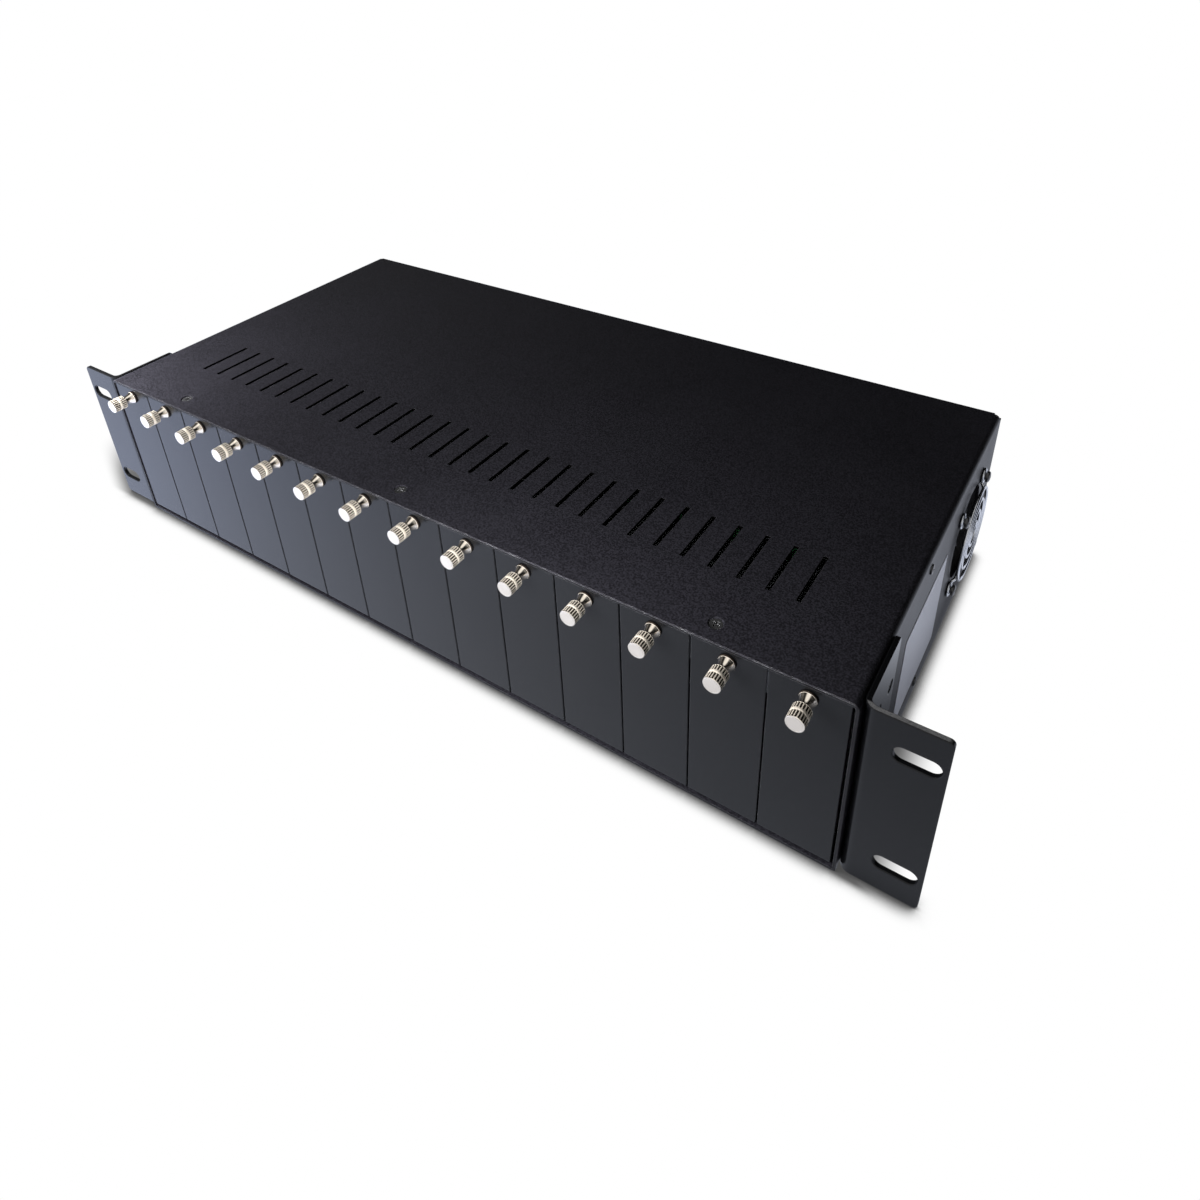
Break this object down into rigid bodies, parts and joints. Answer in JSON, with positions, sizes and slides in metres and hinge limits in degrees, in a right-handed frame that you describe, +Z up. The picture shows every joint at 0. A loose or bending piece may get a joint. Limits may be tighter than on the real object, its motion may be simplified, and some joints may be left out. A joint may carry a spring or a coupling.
{
  "type": "media converter chassis",
  "caption": "Two-unit rack chassis for slide-in media converters, with blank slot panels on captive thumb screws, bolt-on rack ears, a vented cover and a side fan.",
  "frame": {"origin": "centre of the underside of the whole object's box, on the surface it stands on", "axes": "+X to the right seen from the front, +Y to the rear (the slots face -Y), +Z up"},
  "size_m": [0.4826, 0.2204, 0.088],
  "materials": {
    "cover_coat": "fine-textured black powder coat",
    "panel_coat": "smooth satin black paint",
    "ear_coat": "smooth satin black paint",
    "bright_plating": "bright nickel",
    "plated_steel": "zinc plated",
    "plated_sheet": "galvanised sheet",
    "black_screws": "black oxide",
    "black_plastic": "moulded matt",
    "gloss_black": "gloss",
    "board_laminate": "green solder mask",
    "brass_parts": "plain",
    "lead_sheath": "soft PVC",
    "sticker_film": "blank silver-white film"
  },
  "bodies": {
    "chassis": {"top_cover": "cover_coat", "base_tray": "cover_coat", "front_rail": "plated_sheet", "clinch_nuts": "plated_steel", "slot_guide": "plated_sheet", "bulkhead": "plated_sheet", "power_board": "board_laminate", "board_spacers": "brass_parts", "power_plugs": "black_plastic", "psu_case": "plated_sheet", "psu_lid": "plated_sheet", "terminal_block": "black_plastic", "ac_inlet": "black_plastic", "inlet_pins": "brass_parts", "inlet_screws": "black_screws", "switch_frame": "black_plastic", "fan_frame": "black_plastic", "fan_guard": "bright_plating", "fan_screws": "plated_steel", "mains_leads": "lead_sheath", "feed_leads": "lead_sheath", "fan_lead": "lead_sheath", "rack_ear_left": "ear_coat", "rack_ear_right": "ear_coat", "ear_screws": "black_screws", "top_screws": "black_screws", "side_screws": "black_screws", "lip_screws": "black_screws", "earth_stud": "brass_parts", "side_sticker": "sticker_film"},
    "fan_rotor": {"fan_rotor": "black_plastic"},
    "switch_rocker": {"switch_rocker": "gloss_black"},
    "blank_panel_01": {"blank_panel_01": "panel_coat"},
    "thumb_screw_01": {"thumb_screw_01": "bright_plating"},
    "blank_panel_02": {"blank_panel_02": "panel_coat"},
    "thumb_screw_02": {"thumb_screw_02": "bright_plating"},
    "blank_panel_03": {"blank_panel_03": "panel_coat"},
    "thumb_screw_03": {"thumb_screw_03": "bright_plating"},
    "blank_panel_04": {"blank_panel_04": "panel_coat"},
    "thumb_screw_04": {"thumb_screw_04": "bright_plating"},
    "blank_panel_05": {"blank_panel_05": "panel_coat"},
    "thumb_screw_05": {"thumb_screw_05": "bright_plating"},
    "blank_panel_06": {"blank_panel_06": "panel_coat"},
    "thumb_screw_06": {"thumb_screw_06": "bright_plating"},
    "blank_panel_07": {"blank_panel_07": "panel_coat"},
    "thumb_screw_07": {"thumb_screw_07": "bright_plating"},
    "blank_panel_08": {"blank_panel_08": "panel_coat"},
    "thumb_screw_08": {"thumb_screw_08": "bright_plating"},
    "blank_panel_09": {"blank_panel_09": "panel_coat"},
    "thumb_screw_09": {"thumb_screw_09": "bright_plating"},
    "blank_panel_10": {"blank_panel_10": "panel_coat"},
    "thumb_screw_10": {"thumb_screw_10": "bright_plating"},
    "blank_panel_11": {"blank_panel_11": "panel_coat"},
    "thumb_screw_11": {"thumb_screw_11": "bright_plating"},
    "blank_panel_12": {"blank_panel_12": "panel_coat"},
    "thumb_screw_12": {"thumb_screw_12": "bright_plating"},
    "blank_panel_13": {"blank_panel_13": "panel_coat"},
    "thumb_screw_13": {"thumb_screw_13": "bright_plating"},
    "blank_panel_14": {"blank_panel_14": "panel_coat"},
    "thumb_screw_14": {"thumb_screw_14": "bright_plating"}
  },
  "joints": [
    {"name": "fan_spin", "type": "hinge", "parent": "chassis", "child": "fan_rotor", "pos_m": [0.203, 0.06185, 0.047], "axis": [1, 0, 0], "continuous": true},
    {"name": "power_switch", "type": "hinge", "parent": "chassis", "child": "switch_rocker", "pos_m": [0.07, 0.10545, 0.044], "axis": [1, 0, 0], "range_deg": [0, 18]},
    {"name": "panel_slide_01", "type": "slide", "parent": "chassis", "child": "blank_panel_01", "axis": [0, -1, 0], "range_m": [0, 0.05]},
    {"name": "screw_turn_01", "type": "hinge", "parent": "blank_panel_01", "child": "thumb_screw_01", "pos_m": [-0.195, -0.09815, 0.0815], "axis": [0, -1, 0], "range_deg": [0, 2160]},
    {"name": "panel_slide_02", "type": "slide", "parent": "chassis", "child": "blank_panel_02", "axis": [0, -1, 0], "range_m": [0, 0.05]},
    {"name": "screw_turn_02", "type": "hinge", "parent": "blank_panel_02", "child": "thumb_screw_02", "pos_m": [-0.165, -0.09815, 0.0815], "axis": [0, -1, 0], "range_deg": [0, 2160]},
    {"name": "panel_slide_03", "type": "slide", "parent": "chassis", "child": "blank_panel_03", "axis": [0, -1, 0], "range_m": [0, 0.05]},
    {"name": "screw_turn_03", "type": "hinge", "parent": "blank_panel_03", "child": "thumb_screw_03", "pos_m": [-0.135, -0.09815, 0.0815], "axis": [0, -1, 0], "range_deg": [0, 2160]},
    {"name": "panel_slide_04", "type": "slide", "parent": "chassis", "child": "blank_panel_04", "axis": [0, -1, 0], "range_m": [0, 0.05]},
    {"name": "screw_turn_04", "type": "hinge", "parent": "blank_panel_04", "child": "thumb_screw_04", "pos_m": [-0.105, -0.09815, 0.0815], "axis": [0, -1, 0], "range_deg": [0, 2160]},
    {"name": "panel_slide_05", "type": "slide", "parent": "chassis", "child": "blank_panel_05", "axis": [0, -1, 0], "range_m": [0, 0.05]},
    {"name": "screw_turn_05", "type": "hinge", "parent": "blank_panel_05", "child": "thumb_screw_05", "pos_m": [-0.075, -0.09815, 0.0815], "axis": [0, -1, 0], "range_deg": [0, 2160]},
    {"name": "panel_slide_06", "type": "slide", "parent": "chassis", "child": "blank_panel_06", "axis": [0, -1, 0], "range_m": [0, 0.05]},
    {"name": "screw_turn_06", "type": "hinge", "parent": "blank_panel_06", "child": "thumb_screw_06", "pos_m": [-0.045, -0.09815, 0.0815], "axis": [0, -1, 0], "range_deg": [0, 2160]},
    {"name": "panel_slide_07", "type": "slide", "parent": "chassis", "child": "blank_panel_07", "axis": [0, -1, 0], "range_m": [0, 0.05]},
    {"name": "screw_turn_07", "type": "hinge", "parent": "blank_panel_07", "child": "thumb_screw_07", "pos_m": [-0.015, -0.09815, 0.0815], "axis": [0, -1, 0], "range_deg": [0, 2160]},
    {"name": "panel_slide_08", "type": "slide", "parent": "chassis", "child": "blank_panel_08", "axis": [0, -1, 0], "range_m": [0, 0.05]},
    {"name": "screw_turn_08", "type": "hinge", "parent": "blank_panel_08", "child": "thumb_screw_08", "pos_m": [0.015, -0.09815, 0.0815], "axis": [0, -1, 0], "range_deg": [0, 2160]},
    {"name": "panel_slide_09", "type": "slide", "parent": "chassis", "child": "blank_panel_09", "axis": [0, -1, 0], "range_m": [0, 0.05]},
    {"name": "screw_turn_09", "type": "hinge", "parent": "blank_panel_09", "child": "thumb_screw_09", "pos_m": [0.045, -0.09815, 0.0815], "axis": [0, -1, 0], "range_deg": [0, 2160]},
    {"name": "panel_slide_10", "type": "slide", "parent": "chassis", "child": "blank_panel_10", "axis": [0, -1, 0], "range_m": [0, 0.05]},
    {"name": "screw_turn_10", "type": "hinge", "parent": "blank_panel_10", "child": "thumb_screw_10", "pos_m": [0.075, -0.09815, 0.0815], "axis": [0, -1, 0], "range_deg": [0, 2160]},
    {"name": "panel_slide_11", "type": "slide", "parent": "chassis", "child": "blank_panel_11", "axis": [0, -1, 0], "range_m": [0, 0.05]},
    {"name": "screw_turn_11", "type": "hinge", "parent": "blank_panel_11", "child": "thumb_screw_11", "pos_m": [0.105, -0.09815, 0.0815], "axis": [0, -1, 0], "range_deg": [0, 2160]},
    {"name": "panel_slide_12", "type": "slide", "parent": "chassis", "child": "blank_panel_12", "axis": [0, -1, 0], "range_m": [0, 0.05]},
    {"name": "screw_turn_12", "type": "hinge", "parent": "blank_panel_12", "child": "thumb_screw_12", "pos_m": [0.135, -0.09815, 0.0815], "axis": [0, -1, 0], "range_deg": [0, 2160]},
    {"name": "panel_slide_13", "type": "slide", "parent": "chassis", "child": "blank_panel_13", "axis": [0, -1, 0], "range_m": [0, 0.05]},
    {"name": "screw_turn_13", "type": "hinge", "parent": "blank_panel_13", "child": "thumb_screw_13", "pos_m": [0.165, -0.09815, 0.0815], "axis": [0, -1, 0], "range_deg": [0, 2160]},
    {"name": "panel_slide_14", "type": "slide", "parent": "chassis", "child": "blank_panel_14", "axis": [0, -1, 0], "range_m": [0, 0.05]},
    {"name": "screw_turn_14", "type": "hinge", "parent": "blank_panel_14", "child": "thumb_screw_14", "pos_m": [0.195, -0.09815, 0.0815], "axis": [0, -1, 0], "range_deg": [0, 2160]}
  ]
}
